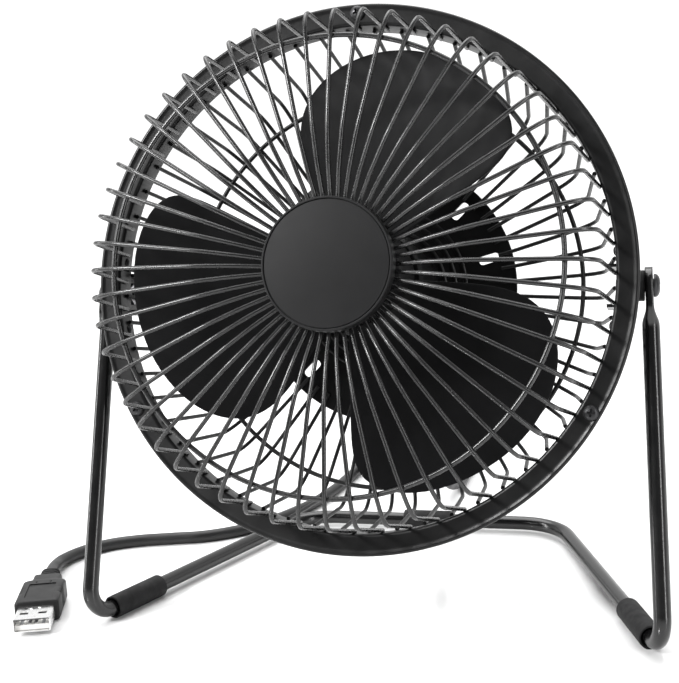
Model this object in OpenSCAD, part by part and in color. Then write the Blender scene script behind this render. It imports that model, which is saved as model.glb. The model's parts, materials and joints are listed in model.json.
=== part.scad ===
// Desk fan: wire-caged head on a bent-tube stand, with a USB lead. Millimetres, +Z up.
// The origin is on the floor, under the middle of the fan without its lead. It blows towards -Y.

/* [Stand] */
// Height of the tilt axis above the floor
pivot_h = 107; // [105:0.5:112]
// Outer radius of the stand tube
tube_r = 2.6; // [2.4:0.1:2.8]
// Distance from the middle to the centre of each flattened tube end
tab_x = 87.3; // [87.1:0.1:87.6]
// Half width of the base at its front corners
base_front_x = 91; // [90:0.5:96]
// How far the base's front corners are ahead of the tilt axis
base_front = 27; // [22:1:32]
// Half width of the base at its rear corners
base_rear_x = 51; // [46:1:56]
// How far the base's rear corners are behind the tilt axis
base_rear = 88; // [84:1:90]
// Bend radius at the front corners
front_bend_r = 8; // [7:0.5:8]
// Bend radius at the rear corners
rear_bend_r = 20; // [12:1:26]
// Outer radius of the rubber sleeves
sleeve_r = 3.8; // [3.6:0.1:4.2]

/* [Head] */
// Upward tilt of the fan's axis at rest, in degrees
rest_tilt = 13.4; // [10:0.2:16]
// Outer radius of the hoop
hoop_r = 85; // [84.5:0.1:85]
// Inner radius of the hoop's wall
wall_r = 78.2; // [78:0.1:78.4]
// Depth of the hoop's wall behind its front face
wall_depth = 8.6; // [8:0.1:8.6]
// Distance of the tilt axis behind the hoop's front face
pivot_back = 12; // [12:0.5:13]
// Height of the hoop's centre above the tilt axis, square to the fan's axis
pivot_drop = 3; // [2.5:0.5:3]

/* [Grilles] */
// Wires in each grille
wire_count = 56; // [56]
// Radius of the grille wires
wire_r = 0.65; // [0.6:0.05:0.7]
// Radius of the wire in the support rings
ring_wire_r = 0.75; // [0.7:0.05:0.8]
// Radius of the front support ring
front_ring_r = 66; // [64:1:67]
// Radius of the rear support ring
rear_ring_r = 66.3; // [64:0.1:67]
// Radius of the hub cap
cap_r = 19.3; // [19:0.1:20]
// Front face of the hub cap, ahead of the hoop's face
cap_front = 32.3; // [32:0.1:33]
// Radius of the rear plate
plate_r = 44.6; // [44:0.1:46]

/* [Rotor] */
// Number of blades
blade_count = 3; // [3]
// Blade tip radius
tip_r = 71; // [68:0.5:72]
// Thickness of a blade
blade_t = 1.2; // [1:0.1:1.6]
// Radius of the impeller's hub
hub_r = 17; // [16:0.5:18]
// Angle of the first blade's middle, from the fan's right
blade_start = 73; // [0:1:119]

/* [Lead] */
// Radius of the lead
cord_r = 2.3; // [2.3]
// Radius to the middle of the coil's turns
coil_mean_r = 23; // [23]

/* [Hidden] */

$fn = 64;

// The tilt axis along Y, which puts the origin under the middle
axis_y = -17.5;
// Height of the tube's centre over the floor where the base lies flat
base_z = sleeve_r - 0.2;
front_corner = [base_front_x, axis_y - base_front, base_z];
rear_corner = [base_rear_x, axis_y + base_rear, base_z];
pivot = [tab_x, axis_y, pivot_h];
leg_dir = unit(front_corner - pivot);
leg_top = pivot + 15 * leg_dir;
side_dir = unit(rear_corner - front_corner);
tab_t = 2.4;
tab_r = 5.6;
bolt_r = 2;

sheet_t = 1;
bracket_in = 79.3;
bracket_t = 1.4;
tongue_in = 80.2;
tongue_out = 82;
tongue_half = 6.5;
tongue_back = -21;
strap_low = -18;
strap_high = 9.5;
// The rivets sit between wire ends, either side of the pivot's height
rivet_angles = [4.82, -11.25];
rivet_r = 0.9;
rivet_z = -5;
flange_screw_r = 82;
flange_screw_angles = [90, -30, -150];

hub_plate_z = 26;
hub_plate_t = 1;
// Centre of the wires where they are welded to the front hub plate
hub_wire_z = hub_plate_z + hub_plate_t + wire_r - 0.1;
wire_wall_r = wall_r - wire_r + 0.15;
front_ring_z = 29.5;
// Front grille wire, as [radius, height ahead of the hoop's face]
front_profile = [
    [13, hub_wire_z], [19, hub_wire_z + 0.1], [28, 30.8], [39.5, 32.4],
    [front_ring_r, front_ring_z + wire_r + ring_wire_r - 0.1],
    [72.2, 29], [74.8, 26.2], [75.4, 22], [wire_wall_r, -4.4]
];
plate_front = -42.2;
plate_t = 1;
plate_wire_z = plate_front + wire_r - 0.1;
plate_ridges = [20.5, 24, 27.5];
plate_slots = 12;
plate_slot_start = 16;
plate_slot_r = 36.6;
rear_ring_z = -38.2;
// Rear grille wire, as [radius, height ahead of the hoop's face]
rear_profile = [
    [40, plate_wire_z], [46, plate_wire_z],
    [rear_ring_r, rear_ring_z - wire_r - ring_wire_r + 0.1],
    [71, -37.8], [73.6, -34.5], [74.2, -31], [wire_wall_r, -4.8]
];
wire_step = 360 / wire_count;

motor_r = 18;
motor_front = -16;
shaft_r = 1.5;
hub_back = -9;
hub_front = 10;
blade_z = 2;
cover_r = 27;
cover_wall = 1.8;
cover_back = -57.2;
post_r = 3;
post_place_r = 21.5;
post_angles = [0, 120, 240];
switch_y = 9;
bezel_x = 15.2;
bezel_y = 10.6;
cutout_x = 13.4;
cutout_y = 8.8;
rocker_x = 10.8;
rocker_y = 6.2;
rocker_pin_r = 0.9;
rocker_pin_z = cover_back + 1.4;
gland_y = -13;
gland_end = -73;

// The lead starts just clear of the gland's end and leaves it straight
lead_start = on_head_point([0, gland_y, gland_end - 0.05]);
lead_straight = on_head_point([0, gland_y, gland_end - 10]);
coil_centre = [-22, axis_y + 192, 0];
coil_half_w = 2 * cord_r;
coil_h = 6 * cord_r;
// The lead's points are given from below the tilt axis
drop_points = concat([lead_start, lead_straight], [
    for (p = [
        [0, 77, 76.6], [0, 86, 69.5], [0, 93, 60], [1, 98, 49], [1, 102, 38],
        [1, 107, 27], [2, 114, 17], [2, 123, 9.5], [2, 134, 4.8], [3, 146, 2.6], [3, 158, 2.3],
        [3, 172, 2.3], [3, 185, 2.3]
    ]) p + [0, axis_y, 0]
]);
relief_l = 6.1;
neck_l = 6.2;
neck_w = 9.8;
neck_h = 6.4;
taper_l = 2.3;
plug_l = 20.4;
plug_w = 14.8;
plug_h = 7.6;
shell_l = 12;
shell_w = 12;
shell_h = 4.5;
shell_t = 0.4;
shell_y = relief_l + neck_l + taper_l + plug_l;
plug_tail = [-123.6, axis_y + 8.6, plug_h / 2];
plug_dir = unit([0.35, -0.94, 0]);
lead_points = concat([
    for (p = [
        [-47, 187], [-47, 174], [-48, 160], [-49, 146], [-50, 132], [-52, 118], [-55, 105],
        [-60, 92], [-66, 80], [-74, 70], [-85, 62], [-97, 58], [-109, 54], [-119, 48],
        [-126, 39]
    ]) [p.x, axis_y + p.y, cord_r]
], [[-129, axis_y + 28, 2.5], [-127, axis_y + 17, 3.4], plug_tail]);

function unit(v) = v / norm(v);

// A point given in the head's frame (x right, y up, z forward), in the part's frame
function on_head_point(p) = [
    p.x,
    axis_y + (p.y + pivot_drop) * sin(rest_tilt) - (p.z + pivot_back) * cos(rest_tilt),
    pivot_h + (p.y + pivot_drop) * cos(rest_tilt) + (p.z + pivot_back) * sin(rest_tilt)
];

// Places children drawn in the head's frame: x right, y up, z forward from the hoop's face
module on_head() {
    translate([0, axis_y, pivot_h])
        rotate([-rest_tilt, 0, 0])
            translate([0, -pivot_back, pivot_drop])
                rotate([90, 0, 0])
                    children();
}

// Places children drawn in the plug's frame: x across, y towards the contacts, z up
module on_plug() {
    translate([plug_tail.x, plug_tail.y, 0])
        rotate([0, 0, atan2(plug_dir.y, plug_dir.x) - 90])
            children();
}

// Direction of travel at point i of a path
function heading(pts, i) = unit(pts[min(i + 1, len(pts) - 1)] - pts[max(i - 1, 0)]);

// The part of v that is square to the direction t
function square_to(v, t) = unit(v - (v * t) * t);

// One closed tube through pts. side is a direction that the path doesn't start along.
module swept_tube(pts, r, sides, side) {
    n = len(pts);
    // The side direction is carried along the path, so the tube never twists
    sides_along = [
        for (i = 0, v = square_to(side, heading(pts, 0)); i < n;
             i = i + 1, v = i < n ? square_to(v, heading(pts, i)) : v)
            v
    ];
    rings = [
        for (i = [0:n - 1])
            let (v = sides_along[i], u = cross(v, heading(pts, i)))
                for (k = [0:sides - 1])
                    pts[i] + r * (cos(360 * k / sides) * v - sin(360 * k / sides) * u)
    ];
    walls = [
        for (i = [0:n - 2], k = [0:sides - 1])
            let (a = i * sides + k, b = i * sides + (k + 1) % sides)
                each [[a, b + sides, b], [a, a + sides, b + sides]]
    ];
    start_cap = [for (k = [0:sides - 1]) k];
    end_cap = [for (k = [0:sides - 1]) n * sides - 1 - k];
    polyhedron(points = rings, faces = concat(walls, [start_cap, end_cap]));
}

// A straight round bar from a to b
module bar(a, b, r) {
    d = b - a;
    translate(a)
        rotate([0, acos(d.z / norm(d)), atan2(d.y, d.x)])
            cylinder(r = r, h = norm(d));
}

// Points along a rounded corner at c, from direction a to direction b
function bend_points(c, a, b, bend_r, steps) =
    let (
        turn = acos(a * b),
        start = c - a * bend_r * tan(turn / 2),
        centre = c + unit(b - a) * bend_r / cos(turn / 2)
    )
    [
        for (i = [0:steps])
            let (t = turn * i / steps)
                centre + (start - centre) * cos(t) + a * bend_r * sin(t)
    ];

// ---------------------------------------------------------------- stand

// Flattened top of one leg, with the hole for the pivot bolt
module leg_end() {
    lean = atan2(-leg_dir.y, -leg_dir.z);
    difference() {
        union() {
            translate(pivot)
                rotate([-lean, 0, 0]) {
                    translate([-tab_t / 2, 0, 0])
                        rotate([0, 90, 0])
                            cylinder(r = tab_r, h = tab_t);
                    translate([-tab_t / 2, -tab_r, -9.4])
                        cube([tab_t, 2 * tab_r, 9.4]);
                }
            hull() {
                translate(pivot)
                    rotate([-lean, 0, 0])
                        translate([-tab_t / 2, -tab_r, -9.5])
                            cube([tab_t, 2 * tab_r, 0.6]);
                bar(leg_top, leg_top + 1.5 * leg_dir, tube_r + 0.15, $fn = 32);
            }
        }
        translate(pivot - [5, 0, 0])
            rotate([0, 90, 0])
                cylinder(r = bolt_r + 0.08, h = 10);
    }
}

module stand_tube() {
    right = concat(
        [leg_top - 1 * leg_dir],
        bend_points(front_corner, leg_dir, side_dir, front_bend_r, 8),
        bend_points(rear_corner, side_dir, [-1, 0, 0], rear_bend_r, 8)
    );
    last = len(right) - 1;
    left = [for (i = [0:last]) let (p = right[last - i]) [-p.x, p.y, p.z]];
    color("dimgray") {
        swept_tube(concat(right, left), tube_r, 20, [1, 0, 0]);
        leg_end();
        mirror([1, 0, 0]) leg_end();
    }
}

// Rubber sleeve of length l on a tube running along +X, with a flat ground along its underside
module sleeve(l) {
    difference() {
        union() {
            rotate([0, 90, 0]) cylinder(r = sleeve_r, h = l);
            for (end = [-0.5, l - 0.7])
                translate([end, 0, 0]) rotate([0, 90, 0]) cylinder(r = sleeve_r - 0.5, h = 1.2);
        }
        translate([-1, 0, 0]) rotate([0, 90, 0]) cylinder(r = tube_r, h = l + 2);
        translate([-1, -5, -sleeve_r - 5]) cube([l + 2, 10, 5 + sleeve_r - base_z]);
    }
}

// Sleeve on the right side bar, next to the front corner
module side_sleeve() {
    from = front_corner + 11.5 * side_dir;
    translate(from)
        rotate([0, 0, atan2(side_dir.y, side_dir.x)])
            sleeve(22);
}

module foot_right() { color("black") side_sleeve(); }

module foot_left() { color("black") mirror([1, 0, 0]) side_sleeve(); }

module foot_rear() {
    color("black")
        translate([-9, rear_corner.y, base_z])
            sleeve(18);
}

// ---------------------------------------------------------------- hoop and pivots

module hoop() {
    color("dimgray") on_head() difference() {
        union() {
            rotate_extrude()
                polygon([
                    [wall_r, -0.9], [wall_r + 0.3, -0.2], [wall_r + 0.9, 0],
                    [hoop_r - 0.6, 0], [hoop_r - 0.6, -sheet_t], [wall_r + sheet_t, -sheet_t],
                    [wall_r + sheet_t, -wall_depth], [wall_r, -wall_depth]
                ]);
            translate([0, 0, -0.5])
                rotate_extrude()
                    translate([hoop_r - 0.8, 0])
                        circle(r = 0.8, $fn = 24);
        }
        for (a = flange_screw_angles)
            rotate([0, 0, a])
                translate([flange_screw_r, 0, -3])
                    cylinder(r = 1.05, h = 6);
        for (side = [0, 1], a = rivet_angles)
            mirror([side, 0, 0])
                rotate([0, 0, a])
                    translate([wall_r - 2, 0, rivet_z])
                        rotate([0, 90, 0])
                            cylinder(r = rivet_r, h = 4);
    }
}

// Pan head screw standing on z = 0 with its shank below, and a cross recess
module pan_screw(head_r, head_h, shank_r, shank_l) {
    translate([0, 0, -shank_l]) cylinder(r = shank_r, h = shank_l + 0.2);
    difference() {
        union() {
            cylinder(r = head_r, h = head_h * 0.55);
            translate([0, 0, head_h * 0.55])
                cylinder(r1 = head_r, r2 = head_r * 0.6, h = head_h * 0.45);
        }
        for (a = [0, 90])
            rotate([0, 0, a])
                translate([-head_r * 0.55, -0.3, head_h * 0.45])
                    cube([head_r * 1.1, 0.6, head_h]);
    }
}

module flange_screws() {
    color("black") on_head()
        for (a = flange_screw_angles)
            rotate([0, 0, a])
                translate([flange_screw_r, 0, 0])
                    pan_screw(2.3, 1.5, 1, 5);
}

// Riveted bracket outside the hoop's wall: a curved strap with a channel running back to the pivot
module bracket() {
    on_head() difference() {
        union() {
            intersection() {
                translate([0, 0, -8.6])
                    difference() {
                        cylinder(r = bracket_in + bracket_t, h = 7.2, $fn = 128);
                        translate([0, 0, -1]) cylinder(r = bracket_in, h = 10, $fn = 128);
                    }
                translate([70, strap_low, -10]) cube([15, strap_high - strap_low, 10]);
            }
            translate([tongue_in, -pivot_drop - tongue_half, tongue_back])
                cube([tongue_out - tongue_in, 2 * tongue_half, -1.4 - tongue_back]);
            for (y = [-tongue_half, tongue_half - 1])
                translate([75, y - pivot_drop, tongue_back])
                    cube([tongue_out - 75, 1, -9.8 - tongue_back]);
        }
        translate([70, -pivot_drop, -pivot_back])
            rotate([0, 90, 0])
                cylinder(r = bolt_r, h = 20);
    }
}

module bracket_right() { color("gray") bracket(); }

module bracket_left() { color("gray") mirror([1, 0, 0]) bracket(); }

module bracket_rivets() {
    color("black") on_head()
        for (side = [0, 1], a = rivet_angles)
            mirror([side, 0, 0])
                rotate([0, 0, a])
                    translate([0, 0, rivet_z])
                        rotate([0, 90, 0]) {
                            translate([0, 0, wall_r - 0.5]) cylinder(r = rivet_r, h = 3.2);
                            translate([0, 0, wall_r - 0.9]) cylinder(r1 = 1, r2 = 1.4, h = 0.7);
                        }
}

// Pivot bolt on the right: domed head outside the stand's tab, shank into the bracket
module pivot_bolt() {
    tab_out = tab_x + tab_t / 2;
    translate([0, axis_y, pivot_h]) rotate([0, 90, 0]) {
        translate([0, 0, tongue_in - 2.6]) cylinder(r = bolt_r, h = tab_out + 0.6 - tongue_in + 2.6);
        intersection() {
            translate([0, 0, tab_out + 0.1]) cylinder(r = 3.5, h = 2);
            translate([0, 0, tab_out - 2.3]) sphere(r = 4.4);
        }
    }
}

module pivot_bolt_right() { color("black") pivot_bolt(); }

module pivot_bolt_left() { color("black") mirror([1, 0, 0]) pivot_bolt(); }

module spacer() {
    length = tab_x - tab_t / 2 - 0.1 - tongue_out;
    translate([tongue_out, axis_y, pivot_h]) rotate([0, 90, 0])
        difference() {
            cylinder(r = 4.6, h = length);
            translate([0, 0, -1]) cylinder(r = bolt_r, h = length + 2);
        }
}

module spacer_right() { color("black") spacer(); }

module spacer_left() { color("black") mirror([1, 0, 0]) spacer(); }

module pivot_nut() {
    translate([tongue_in - 2, axis_y, pivot_h])
        rotate([-rest_tilt, 0, 0])
            rotate([0, 90, 0])
                difference() {
                    cylinder(r = 3.6, h = 2, $fn = 6);
                    translate([0, 0, -1]) cylinder(r = bolt_r, h = 4);
                }
}

module pivot_nut_right() { color("silver") pivot_nut(); }

module pivot_nut_left() { color("silver") mirror([1, 0, 0]) pivot_nut(); }

// ---------------------------------------------------------------- grilles

// All the wires of one grille, each bent to the given [radius, height] profile. The first stands
// at the given share of a step above the horizontal.
module wire_set(profile, share) {
    for (i = [0:wire_count - 1])
        rotate([0, 0, (i + share) * wire_step])
            swept_tube([for (p = profile) [p.x, 0, p.y]], wire_r, 6, [0, 1, 0]);
}

module support_ring(r, z) {
    translate([0, 0, z])
        rotate_extrude($fn = 96)
            translate([r, 0])
                circle(r = ring_wire_r, $fn = 24);
}

module front_wires() { color("dimgray") on_head() wire_set(front_profile, 0); }

module front_ring() { color("dimgray") on_head() support_ring(front_ring_r, front_ring_z); }

module front_hub_plate() {
    color("dimgray") on_head()
        translate([0, 0, hub_plate_z])
            cylinder(r = cap_r - 0.8, h = hub_plate_t);
}

module hub_cap() {
    skirt = hub_wire_z + wire_r + 0.2;
    color("black") on_head() difference() {
        union() {
            translate([0, 0, skirt]) cylinder(r = cap_r, h = cap_front - 0.5 - skirt);
            translate([0, 0, cap_front - 0.5]) cylinder(r1 = cap_r, r2 = cap_r - 0.5, h = 0.5);
            translate([0, 0, hub_plate_z + hub_plate_t]) cylinder(r = 6, h = 3);
        }
        difference() {
            translate([0, 0, skirt - 1]) cylinder(r = cap_r - 1.6, h = 3);
            translate([0, 0, skirt - 2]) cylinder(r = 6, h = 6);
        }
        translate([0, 0, cap_front - 0.4])
            difference() {
                cylinder(r = cap_r - 0.9, h = 1);
                translate([0, 0, -1]) cylinder(r = cap_r - 1.2, h = 3);
            }
    }
}

module rear_wires() { color("dimgray") on_head() wire_set(rear_profile, 0.5); }

module rear_ring() { color("dimgray") on_head() support_ring(rear_ring_r, rear_ring_z); }

// A slot with round ends, l long between its end centres
module round_slot(l, w, h) {
    translate([-l / 2, -w / 2, 0]) cube([l, w, h]);
    for (x = [-l / 2, l / 2]) translate([x, 0, 0]) cylinder(r = w / 2, h = h);
}

// Pressed plate with ridges round the motor and a ring of cooling slots
module rear_plate() {
    color("dimgray") on_head() difference() {
        union() {
            translate([0, 0, plate_front - plate_t]) cylinder(r = plate_r, h = plate_t, $fn = 128);
            for (r = plate_ridges)
                translate([0, 0, plate_front - 0.3])
                    rotate_extrude()
                        translate([r, 0])
                            circle(r = 0.8, $fn = 24);
        }
        for (i = [0:plate_slots - 1])
            rotate([0, 0, plate_slot_start + 360 / plate_slots * i])
                translate([plate_slot_r, 0, plate_front - 3])
                    round_slot(4, 2.8, 6);
        for (a = [0, 180])
            rotate([0, 0, a])
                translate([10, 0, plate_front - 3])
                    cylinder(r = 1.3, h = 6);
    }
}

// ---------------------------------------------------------------- motor and rear housing

module motor_case() {
    color("dimgray") on_head() difference() {
        union() {
            translate([0, 0, plate_front]) cylinder(r = motor_r, h = motor_front - 1 - plate_front);
            translate([0, 0, motor_front - 1]) cylinder(r1 = motor_r, r2 = motor_r - 1, h = 1);
            translate([0, 0, motor_front - 1]) cylinder(r = 5, h = 3);
        }
        translate([0, 0, -30]) cylinder(r = shaft_r + 0.05, h = 20);
        for (a = [0, 180])
            rotate([0, 0, a])
                translate([10, 0, plate_front - 1])
                    cylinder(r = 1.2, h = 6);
    }
}

module motor_screws() {
    color("silver") on_head()
        for (a = [0, 180])
            rotate([0, 0, a])
                translate([10, 0, plate_front - plate_t])
                    rotate([180, 0, 0])
                        pan_screw(2.4, 1.6, 1.2, 5);
}

module rear_cover() {
    top = plate_front - plate_t;
    color("black") on_head() difference() {
        union() {
            difference() {
                union() {
                    translate([0, 0, cover_back + 2]) cylinder(r = cover_r, h = top - cover_back - 2);
                    translate([0, 0, cover_back]) cylinder(r1 = cover_r - 2, r2 = cover_r, h = 2);
                }
                translate([0, 0, cover_back + cover_wall]) cylinder(r = cover_r - cover_wall, h = 20);
            }
            for (a = post_angles)
                rotate([0, 0, a + 90])
                    translate([post_place_r, 0, cover_back + 1])
                        cylinder(r = post_r, h = top - cover_back - 1);
        }
        for (a = post_angles)
            rotate([0, 0, a + 90])
                translate([post_place_r, 0, cover_back - 1])
                    cylinder(r = 1.1, h = 8);
        translate([-cutout_x / 2, switch_y - cutout_y / 2, cover_back - 1])
            cube([cutout_x, cutout_y, 4]);
        translate([0, gland_y, cover_back - 1]) cylinder(r = 3.4, h = 4);
    }
}

module cover_screws() {
    color("silver") on_head()
        for (a = post_angles)
            rotate([0, 0, a + 90])
                translate([post_place_r, 0, cover_back])
                    rotate([180, 0, 0])
                        pan_screw(2.2, 1.4, 1.1, 6);
}

// Frame of the rocker switch, snapped into the rear cover
module switch_bezel() {
    color("black") on_head() translate([0, switch_y, 0]) difference() {
        union() {
            translate([-bezel_x / 2, -bezel_y / 2, cover_back - 1.2]) cube([bezel_x, bezel_y, 1.2]);
            translate([-cutout_x / 2, -cutout_y / 2, cover_back - 0.2]) cube([cutout_x, cutout_y, 9]);
        }
        translate([-rocker_x / 2 - 0.5, -rocker_y / 2 - 0.3, cover_back - 2])
            cube([rocker_x + 1, rocker_y + 0.6, 9]);
        translate([0, -6, rocker_pin_z])
            rotate([-90, 0, 0])
                cylinder(r = rocker_pin_r + 0.06, h = 12);
    }
}

// Rocker, shown with one end pressed
module switch_rocker() {
    half = rocker_x / 2;
    color("black") on_head()
        translate([0, switch_y, rocker_pin_z]) {
            rotate([0, -8, 0])
                translate([0, rocker_y / 2, 0])
                    rotate([90, 0, 0])
                        linear_extrude(rocker_y)
                            polygon([
                                [-half, -1.2], [-half, -3.6], [0, -2.7], [half, -3.6],
                                [half, -1.2], [2, 2], [-2, 2]
                            ]);
            translate([0, -rocker_y / 2 - 1, 0])
                rotate([-90, 0, 0])
                    cylinder(r = rocker_pin_r, h = rocker_y + 2);
        }
}

// Ribbed strain relief pointing straight back
module cord_gland() {
    color("black") on_head()
        translate([0, gland_y, 0]) {
            translate([0, 0, cover_back + cover_wall]) cylinder(r = 4.6, h = 1.5);
            translate([0, 0, cover_back - 0.2]) cylinder(r = 3.4, h = cover_wall + 0.4);
            translate([0, 0, cover_back - 2]) cylinder(r = 4.2, h = 2);
            translate([0, 0, gland_end]) cylinder(r1 = 2.9, r2 = 3.5, h = cover_back - gland_end - 1);
            for (i = [0:3])
                translate([0, 0, gland_end + 2 + 3 * i])
                    cylinder(r = 3.5 + 0.1 * i, h = 1.5);
        }
}

// ---------------------------------------------------------------- rotor

module motor_shaft() {
    color("silver") on_head()
        translate([0, 0, -28]) cylinder(r = shaft_r, h = 28 + hub_front - 3);
}

module impeller_hub() {
    color("black") on_head() difference() {
        union() {
            difference() {
                union() {
                    translate([0, 0, hub_back]) cylinder(r = hub_r, h = hub_front - 2 - hub_back);
                    translate([0, 0, hub_front - 2]) cylinder(r1 = hub_r, r2 = hub_r - 2.5, h = 2);
                }
                translate([0, 0, hub_back - 1]) cylinder(r = hub_r - 1.8, h = hub_front - 1 - hub_back);
            }
            translate([0, 0, hub_back + 1]) cylinder(r = 4.5, h = hub_front - 2 - hub_back);
        }
        translate([0, 0, hub_back - 1]) cylinder(r = shaft_r, h = hub_front - 2 - hub_back);
    }
}

// Half angles of a blade's two edges at radius r: the leading edge sweeps away sooner
function blade_reach(r) = (r - hub_r) / (tip_r - hub_r);
function lead_angle(r) = 44 * sqrt(max(0, 1 - pow(max(0, blade_reach(r)), 4)));
function trail_angle(r) = -40 * sqrt(max(0, 1 - pow(max(0, blade_reach(r)), 9)));

// Height of a blade's mid surface: its leading edge lies towards the rear
function blade_height(r, a) = blade_z - (10.5 + 0.15 * (r - hub_r)) * sin(a);

module blade(number) {
    rows = 14;
    cols = 16;
    root_r = hub_r - 0.6;
    top = [
        for (i = [0:rows])
            let (r = root_r + (tip_r - 0.02 - root_r) * sin(90 * i / rows))
                for (j = [0:cols])
                    let (a = trail_angle(r) + (lead_angle(r) - trail_angle(r)) * j / cols)
                        [r * cos(a), r * sin(a), blade_height(r, a) + blade_t / 2]
    ];
    bottom = [for (p = top) p - [0, 0, blade_t]];
    w = cols + 1;
    count = len(top);
    top_faces = [
        for (i = [0:rows - 1], j = [0:cols - 1])
            let (a = i * w + j)
                each [[a, a + 1, a + w + 1], [a, a + w + 1, a + w]]
    ];
    bottom_faces = [for (f = top_faces) [f[2] + count, f[1] + count, f[0] + count]];
    rim = concat(
        [for (j = [0:cols - 1]) j],
        [for (i = [0:rows - 1]) i * w + cols],
        [for (j = [0:cols - 1]) rows * w + cols - j],
        [for (i = [0:rows - 1]) (rows - i) * w]
    );
    m = len(rim);
    rim_faces = [
        for (k = [0:m - 1])
            let (a = rim[k], b = rim[(k + 1) % m])
                each [[b, a, a + count], [b, a + count, b + count]]
    ];
    color("black") on_head()
        rotate([0, 0, blade_start + 360 / blade_count * (number - 1)])
            polyhedron(
                points = concat(top, bottom),
                faces = [for (f = concat(top_faces, bottom_faces, rim_faces)) [f[2], f[1], f[0]]]
            );
}

// ---------------------------------------------------------------- lead and plug

module cord_drop() { color("black") swept_tube(drop_points, cord_r, 8, [1, 0, 0]); }

module cord_lead() { color("black") swept_tube(lead_points, cord_r, 8, [0, 0, 1]); }

module cord_coil() {
    color("black") translate(coil_centre)
        rotate_extrude()
            polygon([
                [coil_mean_r - coil_half_w, 1.5], [coil_mean_r - coil_half_w + 1.5, 0],
                [coil_mean_r + coil_half_w - 1.5, 0], [coil_mean_r + coil_half_w, 1.5],
                [coil_mean_r + coil_half_w, coil_h - 1.5], [coil_mean_r + coil_half_w - 1.5, coil_h],
                [coil_mean_r - coil_half_w + 1.5, coil_h], [coil_mean_r - coil_half_w, coil_h - 1.5]
            ]);
}

// Flat band round the coil's turns
module cord_tie() {
    width = 4;
    thick = 0.7;
    color("dimgray") translate(coil_centre)
        rotate([0, 0, 90])
            translate([coil_mean_r, 0, 0])
                difference() {
                    translate([-coil_half_w - thick, -width / 2, 0])
                        cube([2 * coil_half_w + 2 * thick, width, coil_h + thick]);
                    translate([-coil_half_w, -width, thick])
                        cube([2 * coil_half_w, 2 * width, coil_h - thick]);
                }
}

module plug_relief() {
    color("black") on_plug()
        translate([0, 0, plug_h / 2])
            rotate([-90, 0, 0]) {
                cylinder(r1 = 2.7, r2 = 3, h = relief_l);
                for (i = [0:2])
                    translate([0, 0, 0.2 + 2 * i])
                        cylinder(r = 3.45, h = 1);
            }
}

// Bar of chamfered section w by h, l long, starting y along the plug's axis
module plug_bar(y, w, h, l) {
    edge = 1.2;
    translate([0, y, plug_h / 2])
        rotate([-90, 0, 0])
            linear_extrude(l)
                polygon([
                    [-w / 2, -h / 2 + edge], [-w / 2 + edge, -h / 2],
                    [w / 2 - edge, -h / 2], [w / 2, -h / 2 + edge],
                    [w / 2, h / 2 - edge], [w / 2 - edge, h / 2],
                    [-w / 2 + edge, h / 2], [-w / 2, h / 2 - edge]
                ]);
}

module plug_body() {
    neck_end = relief_l + neck_l;
    wide_start = neck_end + taper_l;
    color("black") on_plug() difference() {
        union() {
            plug_bar(relief_l, neck_w, neck_h, neck_l);
            hull() {
                plug_bar(neck_end - 0.5, neck_w, neck_h, 0.5);
                plug_bar(wide_start, plug_w, plug_h, 0.5);
            }
            plug_bar(wide_start, plug_w, plug_h, plug_l);
        }
        for (side = [-1, 1], i = [0:3])
            translate([side * plug_w / 2 - 0.3, shell_y - 13 + 1.3 * i, -1])
                cube([0.6, 0.6, plug_h + 2]);
    }
}

module plug_shell() {
    color("silver") on_plug()
        translate([-shell_w / 2, shell_y, (plug_h - shell_h) / 2])
            difference() {
                cube([shell_w, shell_l, shell_h]);
                translate([shell_t, -1, shell_t])
                    cube([shell_w - 2 * shell_t, shell_l + 2, shell_h - 2 * shell_t]);
                for (x = [2.3, 7.7])
                    translate([x, 5.2, shell_h - 1])
                        cube([2, 2.4, 2]);
            }
}

module plug_tongue() {
    color("white") on_plug()
        translate([-shell_w / 2 + shell_t, shell_y, (plug_h - shell_h) / 2 + shell_t])
            cube([shell_w - 2 * shell_t, shell_l - 1, 1.7]);
}

stand_tube();
foot_left();
foot_right();
foot_rear();
hoop();
flange_screws();
bracket_left();
bracket_right();
bracket_rivets();
pivot_bolt_left();
pivot_bolt_right();
spacer_left();
spacer_right();
pivot_nut_left();
pivot_nut_right();
front_wires();
front_ring();
front_hub_plate();
hub_cap();
rear_wires();
rear_ring();
rear_plate();
motor_case();
motor_screws();
rear_cover();
cover_screws();
switch_bezel();
switch_rocker();
cord_gland();
motor_shaft();
impeller_hub();
blade(1);  // blade_1
blade(2);  // blade_2
blade(3);  // blade_3
cord_drop();
cord_coil();
cord_tie();
cord_lead();
plug_relief();
plug_body();
plug_shell();
plug_tongue();
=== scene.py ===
"""Looks of the desk fan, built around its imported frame.

Pieces are drawn in millimetres and placed by a matrix that turns them into metres in the row
frame. HEAD is the head's own frame: x to the right, y up and z forward from the hoop's face.
"""

import json
import math

import bmesh
import bpy
from mathutils import Matrix, Quaternion, Vector


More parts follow.
